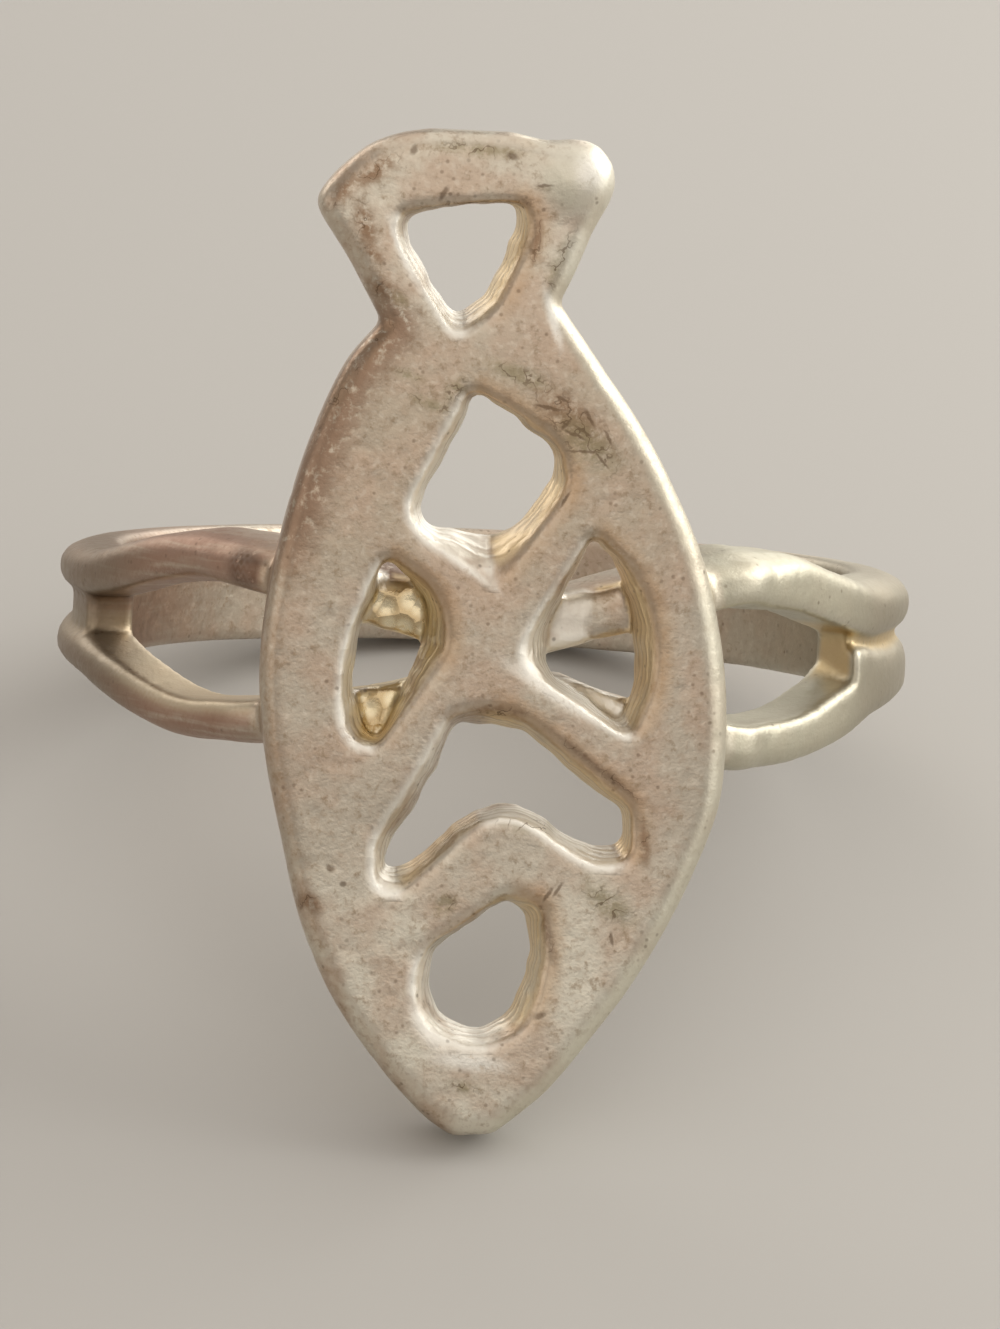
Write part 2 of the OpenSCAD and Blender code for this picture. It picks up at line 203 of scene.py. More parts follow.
SECTIONS = {  # of a wire: across in half widths (+1 the outer side), height (1 the crest)
    "flat": [(-1.00, 0.12), (-1.00, 0.55), (-1.00, 0.90), (-0.90, 0.98), (-0.40, 1.00),
             (0.30, 1.00), (0.72, 0.93), (0.94, 0.72), (1.00, 0.30)],
    "bevelled": [(-1.00, 0.12), (-0.92, 0.36), (-0.76, 0.70), (-0.60, 0.95), (-0.40, 1.00),
                 (0.22, 1.00), (0.66, 0.86), (0.90, 0.58), (1.00, 0.22)],
    "round": [(-1.00, 0.20), (-1.00, 0.52), (-0.88, 0.78), (-0.60, 0.94), (-0.18, 1.00),
              (0.28, 0.99), (0.68, 0.86), (0.92, 0.62), (1.00, 0.25)]}
WEB_HEIGHT = 1.15  # from the bore
WEB_TO = -73.5  # degrees, at the left
STEP_AT, STEP_LEAN, STEP_INNER = (7.60, -4.13), 29.6, -0.33  # the blunt step at the right
STEP_BACK = 150  # degrees, past which the step's plane is left out
FILLET, FILLET_IN_HOLE = 0.35, 0.05  # where the wires meet the plate, and inside a cutout
WIRE_FILLET, WEB_FILLET = 0.06, 0.08
STEP_RIM, WEB_RIM, BORE_RIM = 0.04, 0.1, 0.14
WIRES_WITHIN = 3.3  # the wires are worked out up to this far from the middle

around_x, around_y = np.meshgrid(xs, ys, indexing="ij")
angle = np.degrees(np.arctan2(around_x, -around_y))
height = np.hypot(around_x, around_y) - BORE_RADIUS
way = through(WIRES, 8)
wire_rows = np.abs(zs) < WIRES_WITHIN
z = zs[wire_rows][None, None, :]
up = height[..., None]


def at_angle(column):
    return np.interp(angle, way[:, 0], way[:, column])


def wire(middle, half, bevelled, outer_side):
    """Distance to one wire, worked out in the plane of each angle."""
    thick, round_part = at_angle(5), at_angle(7)
    parts = np.array([SECTIONS[n] for n in ("flat", "bevelled", "round")])
    corners = [(-1 + 0 * thick, -0.2 + 0 * thick)]  # the sides run on past the bore
    corners += [tuple(flat * (1 - bevelled - round_part) + bevel * bevelled + full * round_part
                      for flat, bevel, full in zip(*parts[:, i])) for i in range(parts.shape[1])]
    corners += [(1 + 0 * thick, -0.2 + 0 * thick)]
    corners = [((a * half)[..., None], (h * thick)[..., None]) for a, h in corners]
    across = outer_side * (z - middle[..., None])
    nearest = np.full(np.broadcast(across, up).shape, 1e9, np.float32)
    inside = np.zeros(nearest.shape, bool)
    for (aa, ah), (ba, bh) in zip(corners, corners[1:] + corners[:1]):
        ea, eh = ba - aa, bh - ah
        t = np.clip(((across - aa) * ea + (up - ah) * eh) / (ea * ea + eh * eh + 1e-9), 0, 1)
        nearest = np.minimum(nearest, (across - aa - ea * t) ** 2 + (up - ah - eh * t) ** 2)
        eh = np.where(np.abs(eh) < 1e-9, 1e-9, eh)
        inside ^= ((ah > up) != (bh > up)) & (across < aa + (up - ah) * ea / eh)
    return np.where(inside, -1, 1) * np.sqrt(nearest)


# At the right the web and the inner half of the lower wire start bluntly, at a flat step.
step_x, step_y = math.cos(math.radians(STEP_LEAN)), math.sin(math.radians(STEP_LEAN))
before_step = -(around_x - STEP_AT[0]) * step_x - (around_y - STEP_AT[1]) * step_y
before_step = np.where(np.abs(angle) > STEP_BACK, -1.0, before_step)
upper = wire(at_angle(1), at_angle(2), at_angle(6), 1)
outer_edge, inner_edge = at_angle(3) - at_angle(4), at_angle(3) + at_angle(4)
thin_edge = np.where(angle > 0, np.minimum(inner_edge, STEP_INNER), inner_edge)
full_edge = np.maximum(inner_edge, np.interp(angle, [44, 45, 130, 175], [-2, 0.18, 0.18, -0.1]))
lower = wire((outer_edge + thin_edge) / 2, (thin_edge - outer_edge) / 2, 0 * angle, -1)
lobe = wire((outer_edge + full_edge) / 2, (full_edge - outer_edge) / 2, 0 * angle, -1)
lower = np.minimum(lower, shared(lobe, before_step[..., None], STEP_RIM))
left_end = np.radians(angle - WEB_TO) * (height + BORE_RADIUS)
ends = np.where(angle > 0, before_step, left_end)
web = shared(np.maximum(z - at_angle(1)[..., None], at_angle(3)[..., None] - z) + 0 * up,
             up - WEB_HEIGHT, WEB_RIM)
web = shared(web, ends[..., None], STEP_RIM)
shank = flowed(flowed(upper, lower, WIRE_FILLET), web, WEB_FILLET)
# The metal flows round the joint, but leaves the cutouts open behind the fins.
in_hole = np.minimum.reduce(list(hole_back.values()))[:, wire_rows]
fillet = np.interp(in_hole, [-0.05, 0.30], [FILLET_IN_HOLE, FILLET])[:, None, :]
ring = flowed(wax[:, :, wire_rows], shank, fillet)
wax[:, :, wire_rows] = shared(ring, -up + 0 * z, BORE_RIM)

# The casting.
# The wax is burnt out and silver takes its place: one closed skin over plate and shank.
# Each cell that the surface passes gets one point, and every crossed grid edge a face.


def softened(field):
    """The field with the tool marks of the grid rubbed out of it."""
    for axis in range(3):
        a, b = np.roll(field, 1, axis), np.roll(field, -1, axis)
        field = 0.5 * field + 0.25 * (a + b)
    return field


def skin_of(field):
    """Points and four-cornered faces of the surface where the field is 0."""
    solid = field < 0
    n = np.array(field.shape) - 1
    steps = [(i, j, k) for i in (0, 1) for j in (0, 1) for k in (0, 1)]
    corners = [solid[i : n[0] + i, j : n[1] + j, k : n[2] + k] for i, j, k in steps]
    filled = sum(corner.astype(np.uint8) for corner in corners)
    cells = np.argwhere((filled > 0) & (filled < 8))
    number = np.full(n, -1, np.int64)
    number[tuple(cells.T)] = np.arange(len(cells))
    total, hits = np.zeros((len(cells), 3)), np.zeros(len(cells))
    for a in steps:
        for axis in range(3):
            if a[axis]:
                continue
            b = tuple(v + (i == axis) for i, v in enumerate(a))
            fa = field[tuple((cells + a).T)]
            fb = field[tuple((cells + b).T)]
            cut = (fa < 0) != (fb < 0)
            t = np.where(cut, fa / np.where(cut, fa - fb, 1), 0)
            total[cut] += (np.array(a) + t[:, None] * (np.array(b) - a))[cut]
            hits += cut
    points = wax_low + CELL * (cells + total / hits[:, None])
    faces = []
    for axis in range(3):
        u, v = (axis + 1) % 3, (axis + 2) % 3
        first = np.moveaxis(solid, axis, 0)[:-1]
        last = np.moveaxis(solid, axis, 0)[1:]
        for leaving in (True, False):
            crossed = first & ~last if leaving else ~first & last
            at = np.argwhere(np.moveaxis(crossed, 0, axis))
            ring_of = []
            for du, dv in ((1, 1), (0, 1), (0, 0), (1, 0)):
                cell = at.copy()
                cell[:, u] -= du
                cell[:, v] -= dv
                ring_of.append(number[tuple(cell.T)])
            faces.append(np.stack(ring_of if leaving else ring_of[::-1], 1))
    return points, np.vstack(faces)


def sampled(field, points):
    """The field's values at points between its grid points."""
    at = (points - wax_low) / CELL
    base = np.clip(np.floor(at).astype(int), 0, np.array(field.shape) - 2)
    f = at - base
    value = np.zeros(len(points))
    for i in (0, 1):
        for j in (0, 1):
            for k in (0, 1):
                near_x, near_y, near_z = np.abs(1 - np.array([i, j, k]) - f).T
                value += near_x * near_y * near_z * field[tuple((base + (i, j, k)).T)]
    return value


wax = softened(wax)
points, faces = skin_of(wax)
edges = np.vstack([faces[:, [a, b]] for a, b in ((0, 1), (1, 2), (2, 3), (3, 0))])
edges = np.vstack([edges, edges[:, ::-1]])
share_of = np.bincount(edges[:, 0], minlength=len(points))


def averaged(values):
    """Each point's neighbours, averaged."""
    return np.stack([np.bincount(edges[:, 0], values[edges[:, 1], c], len(points)) / share_of
                     for c in range(values.shape[1])], 1)


for _ in range(3):  # evened out, and set back on the surface
    points += 0.5 * (averaged(points) - points)
    slope = np.stack([(sampled(wax, points + s) - sampled(wax, points - s)) / CELL
                      for s in np.eye(3) * CELL / 2], 1)
    steep = np.maximum((slope**2).sum(1), 0.2)
    points -= (sampled(wax, points) / steep)[:, None] * slope

# Wear and tarnish follow the form: metal stays light where it stands out and is rubbed,
# and darkens where it is sheltered, in corners and on the walls of the cutouts, partly as
# painted shade. Light is painted into the colour as well: painted highlights where edges,
# walls and rims face the light, and painted reflection and painted shade where they face away.
outward = slope / np.sqrt(steep)[:, None]
bulge = points - averaged(points)
for _ in range(6):
    bulge = averaged(bulge)
bulge = (bulge * outward).sum(1) / CELL


def charted(field, points):
    """Values of a field of the plate's plane at the skin's points."""
    u = np.clip((points[:, 0] - wax_low[0]) / CELL, 0, len(xs) - 1.001)
    v = np.clip((points[:, 2] - wax_low[2]) / CELL, 0, len(zs) - 1.001)
    i, j = u.astype(int), v.astype(int)
    s, t = u - i, v - j
    return ((field[i, j] * (1 - s) + field[i + 1, j] * s) * (1 - t)
            + (field[i, j + 1] * (1 - s) + field[i + 1, j + 1] * s) * t)


def ramp(value, start, end):
    """0 before the start and 1 past the end, eased."""
    t = np.clip((value - start) / (end - start), 0, 1)
    return t * t * (3 - 2 * t)


on_x, on_z = charted(fish_x, points), charted(fish_z, points)
depth = points[:, 1] + PLATE_BACK + PLATE_THICK - on_x**2 / (2 * BOW_RADIUS)
nearest_lip = np.minimum.reduce(list(hole_front.values()))
lip = charted(nearest_lip, points)
right_of_hole = charted(np.gradient(nearest_lip, CELL, axis=0), points)
above_hole = charted(np.gradient(nearest_lip, CELL, axis=1), points)
faces_left = -outward[:, 0] * math.cos(PLATE_TURN) - outward[:, 2] * math.sin(PLATE_TURN)
from_edge = charted(to_outline, points)
plate_part = ramp(depth, PLATE_THICK + 0.25, PLATE_THICK + 0.05) * ramp(from_edge, 0.35, 0.2)
front = plate_part * ramp(depth, 0.35, 0.1)
near_front = plate_part * ramp(depth, 1.0, 0.5)
pale = plate_part * np.maximum(0.5 * ramp(on_z, 7.0, 8.5), ramp(on_z, -3.0, -7.0))
upper_half = plate_part * ramp(on_z, 0.5, 3.0) * ramp(on_z, 8.5, 6.0)
wall = plate_part * ramp(depth, 0.05, 0.35) * ramp(lip, 0.15, 0.0)
wall = wall * ramp(outward[:, 1], -0.85, -0.6)
in_left_fin = ramp(charted(hole_front["left fin"], points), 0.05, -0.1) * ramp(depth, 0.2, 0.7)
in_left_fin = in_left_fin * ramp(on_z, 1.9, 1.5) * ramp(points[:, 1], -5.0, -7.0)
in_left_fin = in_left_fin * (1 - 0.8 * wall * ramp(-right_of_hole, 0.3, 0.8))
# Painted reflection: the cutout walls that face away from the light take a warm yellow tint.
reflected_gold = wall * ramp(right_of_hole + 0.45 * above_hole, 0.0, 0.7)
# Painted highlight: edges and walls that face the light are made pale; they are also rougher and
# chipped.
chipped_and_lit_edges = ramp(-0.75 * right_of_hole - 0.65 * above_hole, 0.05, 0.5)  # edges that face the light
chipped_and_lit_edges = chipped_and_lit_edges * np.maximum(wall, plate_part * ramp(lip, 0.22, 0.04)) * (1 - in_left_fin)
# A painted highlight on the tail's right corner as well.
lit_tail_corner = near_front * ramp(from_edge, -1.0, -0.3)
lit_tail_corner = lit_tail_corner * ramp(on_x, 0.6, 1.4) * ramp(on_z, 8.2, 9.2)
chipped_and_lit_edges = np.maximum(chipped_and_lit_edges, 0.25 * lit_tail_corner)
# Rims that face left: brown tarnish, deepened with painted shade.
tarnish_and_shade_rim = plate_part * ramp(from_edge, -0.75, -0.25) * ramp(faces_left, -0.1, 0.5)
# Painted highlight: rims that face right are made paler and rougher.
lit_right_rim = plate_part * ramp(from_edge, -0.65, -0.2) * ramp(-faces_left, 0.0, 0.4)
# Painted shade: brown on the face along the lips on the cutouts' right and upper sides, turned
# from the light.
shaded_lip = front * ramp(lip, 0.60, 0.1) * ramp(right_of_hole + 0.5 * above_hole, 0.2, 0.9)

# The shoulders: brown on the left, with the inner side of the lower wire rubbed clean and
# a spot of painted shade by the plate, and nearly white on the right, with a yellower web.
shoulder = (1 - plate_part) * ramp(points[:, 1], 8.0, 1.0)
left_wires = shoulder * ramp(points[:, 0], -3.5, -6.5)
right_wires = shoulder * ramp(points[:, 0], 3.0, 5.0)
of_lower = np.interp(np.degrees(np.arctan2(points[:, 0], -points[:, 1])), way[:, 0], way[:, 3])
rubbed = left_wires * ramp(points[:, 2] - of_lower, 0.05, 0.40) * ramp(points[:, 2], 0.2, -0.3)
rubbed = rubbed * ramp(points[:, 1], 2.0, -1.0)
from_shade_spot = np.hypot((points[:, 0] + 5.8) / 0.42, (points[:, 2] - 1.7) / 0.5)
shade_by_plate = left_wires * ramp(from_shade_spot, 1.3, 0.6)
# The upper wire's top side, where it shows at the top of the left fin, gets painted shade too.
shaded_fin_top = ramp(charted(hole_front["left fin"], points), 0.05, -0.1) * ramp(depth, 0.8, 1.2)
shaded_fin_top = shaded_fin_top * ramp(on_z, 1.4, 1.8) * ramp(points[:, 1], -5.0, -7.0)
shade_by_plate = np.maximum(shade_by_plate, 0.9 * shaded_fin_top)
from_bore = np.hypot(points[:, 0], points[:, 1]) - BORE_RADIUS
# Painted shade: the wires' far lobes, turned out of the light, are darkened, the left ones more.
shaded_far_lobes = np.maximum(ramp(points[:, 0], -7.6, -9.3), 0.6 * ramp(points[:, 0], 7.6, 9.3))
shaded_far_lobes = shoulder * shaded_far_lobes
# The lump on the tail gets the same painted highlight.
over_lump = np.hypot(on_x - LUMP[0], on_z - LUMP[2])
lit_right_rim = np.maximum(lit_right_rim, plate_part * ramp(over_lump, 1.0, 0.5))
yellow_web = right_wires * ramp(from_bore, 1.35, 1.15) * ramp(from_bore, 0.1, 0.3)
yellow_web = yellow_web * ramp(np.abs(points[:, 2] - 0.1), 0.8, 0.5)

# Marks on the fish's face, charted: x, z, half length, half width, degrees turned.
MARKS = {
    "pits": [
        (-2.00, 11.47, 0.11, 0.07, 50), (0.18, 11.34, 0.13, 0.07, -30),
        (-1.34, 10.50, 0.16, 0.06, 60), (0.89, 10.68, 0.18, 0.04, 0),
        (0.96, 5.77, 0.33, 0.04, -12), (1.36, 5.39, 0.16, 0.04, 45),
        (1.56, 5.17, 0.24, 0.04, -25), (1.78, 4.79, 0.36, 0.03, -4),
        (1.89, 5.55, 0.20, 0.04, -60), (1.36, 3.73, 0.20, 0.03, 60),
        (-3.89, -4.51, 0.11, 0.07, -40), (-3.60, -4.87, 0.07, 0.07, 0),
        (0.97, -5.10, 0.18, 0.04, 55), (1.19, -4.99, 0.18, 0.04, 55),
        (2.40, -6.12, 0.16, 0.04, -85), (0.79, -7.83, 0.13, 0.07, 30),
        (2.15, 4.60, 0.24, 0.03, -50), (1.75, 5.25, 0.22, 0.03, -35),
        (1.30, 5.95, 0.18, 0.03, -20), (2.30, 5.10, 0.18, 0.03, -60)],
    "brown": [
        (-2.84, 10.99, 0.58, 0.20, 35), (-3.57, 10.55, 0.49, 0.18, 42),
        (-2.89, 9.18, 0.27, 0.13, -40), (-2.67, 8.39, 0.36, 0.20, -30),
        (-3.06, 9.80, 0.58, 0.22, -75), (-0.77, 10.24, 1.33, 0.09, 3),
        (0.71, 9.49, 0.58, 0.11, 82), (-2.87, 7.18, 0.67, 0.20, 52),
        (-3.64, 6.14, 0.76, 0.18, 60), (1.50, 5.50, 1.00, 0.40, -40),
        (2.79, 1.50, 0.84, 0.11, -72), (2.08, -2.26, 1.33, 0.09, -38),
        (3.13, -3.99, 0.49, 0.11, -85), (-0.10, -0.99, 0.58, 0.11, -4),
        (0.97, -6.00, 0.71, 0.09, -75), (-5.73, 2.75, 0.44, 0.27, -20),
        (-4.34, -5.30, 0.31, 0.22, -30)],
    "olive": [
        (-2.10, 6.49, 0.33, 0.09, -15), (-1.10, 6.18, 0.31, 0.16, 50),
        (-1.61, 5.85, 0.49, 0.11, -20), (0.34, 6.50, 0.67, 0.18, -20),
        (1.22, 9.00, 0.76, 0.16, 65), (-1.33, -5.31, 0.27, 0.18, 30),
        (-0.93, -9.44, 0.31, 0.13, -10), (0.79, -3.64, 0.89, 0.13, -12),
        (2.35, -5.34, 0.67, 0.27, -40), (1.85, 4.95, 0.80, 0.36, -45),
        (-2.31, 8.17, 0.22, 0.13, -40), (-0.54, 11.47, 0.89, 0.13, -5)],
    # Pale marks: painted highlights on lips that face the light, on the neck's right rim and on
    # the lump, partly worn polish.
    "polish_and_highlight": [
        (-1.96, -7.11, 0.49, 0.16, -85), (-1.70, -8.15, 0.60, 0.22, -52),
        (-0.80, -8.85, 0.80, 0.20, -8), (-2.69, -5.01, 0.31, 0.11, -25),
        (1.35, -4.00, 0.89, 0.09, -30), (-1.17, 2.49, 1.11, 0.09, -38),
        (-3.48, -0.98, 0.67, 0.09, -82), (-3.40, -1.65, 0.27, 0.11, -50),
        (1.20, -0.62, 1.30, 0.17, -32), (1.07, 7.76, 0.67, 0.11, -75),
        (1.88, 10.98, 0.31, 0.36, 0), (-2.27, 9.27, 0.76, 0.07, -68)]}


stain = {}
for kind in ("brown", "olive", "polish_and_highlight"):
    stain[kind] = np.zeros(len(points))
    for x, z, half_long, half_wide, turn in MARKS[kind]:
        c, r = math.cos(math.radians(turn)), math.sin(math.radians(turn))
        u, v = on_x - x, on_z - z
        u, v = (u * c + v * r) / half_long, (v * c - u * r) / half_wide
        stain[kind] = np.maximum(stain[kind], ramp(np.hypot(u, v), 1.6, 0.3))
    stain[kind] *= near_front
# The brown of the left rim spreads onto the face over the upper half.
spread = near_front * ramp(from_edge, -1.2, -0.4) * ramp(on_x, -0.8, -2.0)
spread = spread * ramp(on_z, 1.0, 3.5) * ramp(on_z, 9.2, 7.5)

# How the ring lies: on the head's tip and the far side of the shank, the plate leaning
# back, as it comes to rest by itself.
LEAN, LIFT, BACKWARD = 25.15, 5.31, 2.64
rest = Matrix.Translation((0, BACKWARD, LIFT)) @ Matrix.Rotation(math.radians(-LEAN), 4, "X")
rest = Matrix.Scale(0.001, 4) @ rest
turned = np.array(rest)
placed = points @ turned[:3, :3].T + turned[:3, 3]

mesh = bpy.data.meshes.new("cutout_ring")
mesh.vertices.add(len(placed))
mesh.vertices.foreach_set("co", placed.astype(np.float32).ravel())
mesh.loops.add(faces.size)
mesh.loops.foreach_set("vertex_index", faces.astype(np.int32).ravel())
mesh.polygons.add(len(faces))
mesh.polygons.foreach_set("loop_start", np.arange(0, faces.size, 4, dtype=np.int32))
mesh.update(calc_edges=True)
mesh.validate()
mesh.polygons.foreach_set("use_smooth", np.ones(len(faces), bool))
around = np.arctan2(points[:, 0], -points[:, 1]) * BORE_RADIUS
masks = {
    "wall": wall, "reflected_gold": reflected_gold, "chipped_and_lit_edges": chipped_and_lit_edges, "left_fin": in_left_fin, "pale": pale,
    "upper_half": upper_half, "bulge": bulge, "depth": depth, "front": front,
    "tarnish_and_shade_rim": tarnish_and_shade_rim, "shaded_lip": shaded_lip, "spread": spread, "lit_right_rim": lit_right_rim,
    "left_wires": left_wires, "right_wires": right_wires, "rubbed": rubbed,
    "shade_by_plate": shade_by_plate, "yellow_web": yellow_web, "shaded_far_lobes": shaded_far_lobes,
    "wires": 1 - plate_part, "around": around, "across": points[:, 2],
    "fish_x": on_x, "fish_z": on_z, **stain}
for name, values in masks.items():
    column = mesh.attributes.new(name, "FLOAT", "POINT")
    column.data.foreach_set("value", values.astype(np.float32))
cutout_ring = bpy.data.objects.new("cutout_ring", mesh)
bpy.context.scene.collection.objects.link(cutout_ring)


def linear(code):
    """A colour from its sRGB hex code, turned linear."""
    parts = [int(code[i : i + 2], 16) / 255 for i in (1, 3, 5)]
    return [c / 12.92 if c <= 0.04045 else ((c + 0.055) / 1.055) ** 2.4 for c in parts] + [1.0]


def add(tree, kind, inputs={}, **settings):
    """Adds a node with its settings; an input is a value or another node's output."""
    node = tree.nodes.new(kind)
    for name, value in settings.items():
        setattr(node, name, value)
    for key, value in inputs.items():
        if isinstance(value, bpy.types.NodeSocket):
            tree.links.new(value, node.inputs[key])
        else:
            node.inputs[key].default_value = value
    return node


# Sterling silver, cast and lightly tumbled, long worn and toned warm: a satin, nearly
# matt skin with a fine grain, brighter on worn rims, yellow to brown where it is sheltered,
# with light painted in: painted highlights on rims, edges and walls that face the light,
# painted shade and a warm painted reflection on those that face away.
silver = bpy.data.materials.new("cast_sterling_silver")
silver.use_nodes = True
tree = silver.node_tree
tree.nodes.clear()
place = add(tree, "ShaderNodeTexCoord").outputs["Object"]
mm = add(tree, "ShaderNodeVectorMath", {0: place, "Scale": 1000.0}, operation="SCALE").outputs[0]
on = {name: add(tree, "ShaderNodeAttribute", attribute_name=name).outputs["Fac"]
      for name in masks}

# Clouds of tarnish about 1 mm wide, flecks of 0.2 mm, a fine mottle of 0.14 mm, and the
# grain of the investment, 0.03 mm in the real skin and drawn at 0.07 mm so that it shows.
cloud = add(tree, "ShaderNodeTexNoise", {"Vector": mm, "Scale": 0.8, "Detail": 3.0}).outputs[0]
fleck_noise = add(tree, "ShaderNodeTexNoise", {"Vector": mm, "Scale": 4.0, "Detail": 3.0,
                                               "Roughness": 0.7})
fleck = fleck_noise.outputs[0]
fine = add(tree, "ShaderNodeTexNoise", {"Vector": mm, "Scale": 7.0, "Detail": 1.0}).outputs[0]
grain = add(tree, "ShaderNodeTexNoise", {"Vector": mm, "Scale": 14.0, "Detail": 1.0}).outputs[0]
# Drawn marks that run along the wires.
along_wire = add(tree, "ShaderNodeCombineXYZ", {"X": on["around"], "Y": on["across"], "Z": 0.0})
along_wire = add(tree, "ShaderNodeVectorMath", {0: along_wire.outputs[0], 1: (0.5, 6.0, 1.0)},
                 operation="MULTIPLY").outputs[0]
streak = add(tree, "ShaderNodeTexNoise",
             {"Vector": along_wire, "Scale": 1.0, "Detail": 2.0}).outputs[0]
# Layers on the walls of the cutouts, left by the tool that cut the wax, 0.3 mm apart.
layer_at = add(tree, "ShaderNodeMath", {0: cloud, 1: 22.0}, operation="MULTIPLY").outputs[0]
layer_at = add(tree, "ShaderNodeMath", {0: on["depth"], 1: 21.0, 2: layer_at},
               operation="MULTIPLY_ADD").outputs[0]
layer = add(tree, "ShaderNodeMath", {0: layer_at}, operation="SINE").outputs[0]
layer = add(tree, "ShaderNodeMath", {0: layer, 1: on["wall"]}, operation="MULTIPLY").outputs[0]

# Pits and scratches of the chart, their edges made uneven by the flecks.
fish = add(tree, "ShaderNodeCombineXYZ",
           {"X": on["fish_x"], "Y": on["fish_z"], "Z": 0.0}).outputs[0]
shift = add(tree, "ShaderNodeVectorMath", {0: fleck_noise.outputs["Color"], 1: (0.5, 0.5, 0.5)},
            operation="SUBTRACT").outputs[0]
fish = add(tree, "ShaderNodeVectorMath", {0: shift, 1: (0.14, 0.14, 0), 2: fish},
           operation="MULTIPLY_ADD").outputs[0]
nearest = None
for x, z, half_long, half_wide, turn in MARKS["pits"]:
    part = add(tree, "ShaderNodeVectorMath", {0: fish, 1: (x, z, 0)},
               operation="SUBTRACT").outputs[0]
    part = add(tree, "ShaderNodeVectorRotate", {"Vector": part, "Angle": -math.radians(turn)},
               rotation_type="Z_AXIS").outputs[0]
    part = add(tree, "ShaderNodeVectorMath", {0: part, 1: (1 / half_long, 1 / half_wide, 0)},
               operation="MULTIPLY").outputs[0]
    part = add(tree, "ShaderNodeVectorMath", {0: part}, operation="LENGTH").outputs["Value"]
    nearest = part if nearest is None else add(
        tree, "ShaderNodeMath", {0: nearest, 1: part}, operation="MINIMUM").outputs[0]
pit = add(tree, "ShaderNodeMapRange", {"Value": nearest, "From Min": 1.5, "From Max": 0.5},
          interpolation_type="SMOOTHSTEP").outputs[0]
pit = add(tree, "ShaderNodeMath", {0: pit, 1: on["front"]}, operation="MULTIPLY").outputs[0]
# Fine wrinkles where the wax was worked, round the charted stains.
crease = add(tree, "ShaderNodeTexNoise", {"Vector": mm, "Scale": 1.7, "Detail": 3.0}).outputs[0]
crease = add(tree, "ShaderNodeMath", {0: crease, 1: 0.5, 2: 0.011}, operation="COMPARE").outputs[0]
worked = add(tree, "ShaderNodeMath", {0: on["brown"], 1: on["olive"]},
             operation="MAXIMUM").outputs[0]
crease = add(tree, "ShaderNodeMath", {0: crease, 1: worked}, operation="MULTIPLY").outputs[0]
# Gas pores of 0.05 to 0.1 mm, here and there.
pore = add(tree, "ShaderNodeTexVoronoi", {"Vector": mm, "Scale": 3.2}).outputs["Distance"]
pore = add(tree, "ShaderNodeMapRange",
           {"Value": pore, "From Min": 0.19, "From Max": 0.08}).outputs[0]
some = add(tree, "ShaderNodeMapRange",
           {"Value": cloud, "From Min": 0.44, "From Max": 0.56}).outputs[0]
pore = add(tree, "ShaderNodeMath", {0: pore, 1: some}, operation="MULTIPLY").outputs[0]
pore = add(tree, "ShaderNodeMath", {0: pore, 1: 0.7}, operation="MULTIPLY").outputs[0]
pit = add(tree, "ShaderNodeMath", {0: pit, 1: pore}, operation="MAXIMUM").outputs[0]
pit = add(tree, "ShaderNodeMath", {0: pit, 1: crease}, operation="MAXIMUM").outputs[0]
# Facets of 0.4 mm, chipped on the edges that face the light and trimmed inside the left fin.
facet = add(tree, "ShaderNodeTexVoronoi", {"Vector": mm, "Scale": 2.2}).outputs["Distance"]

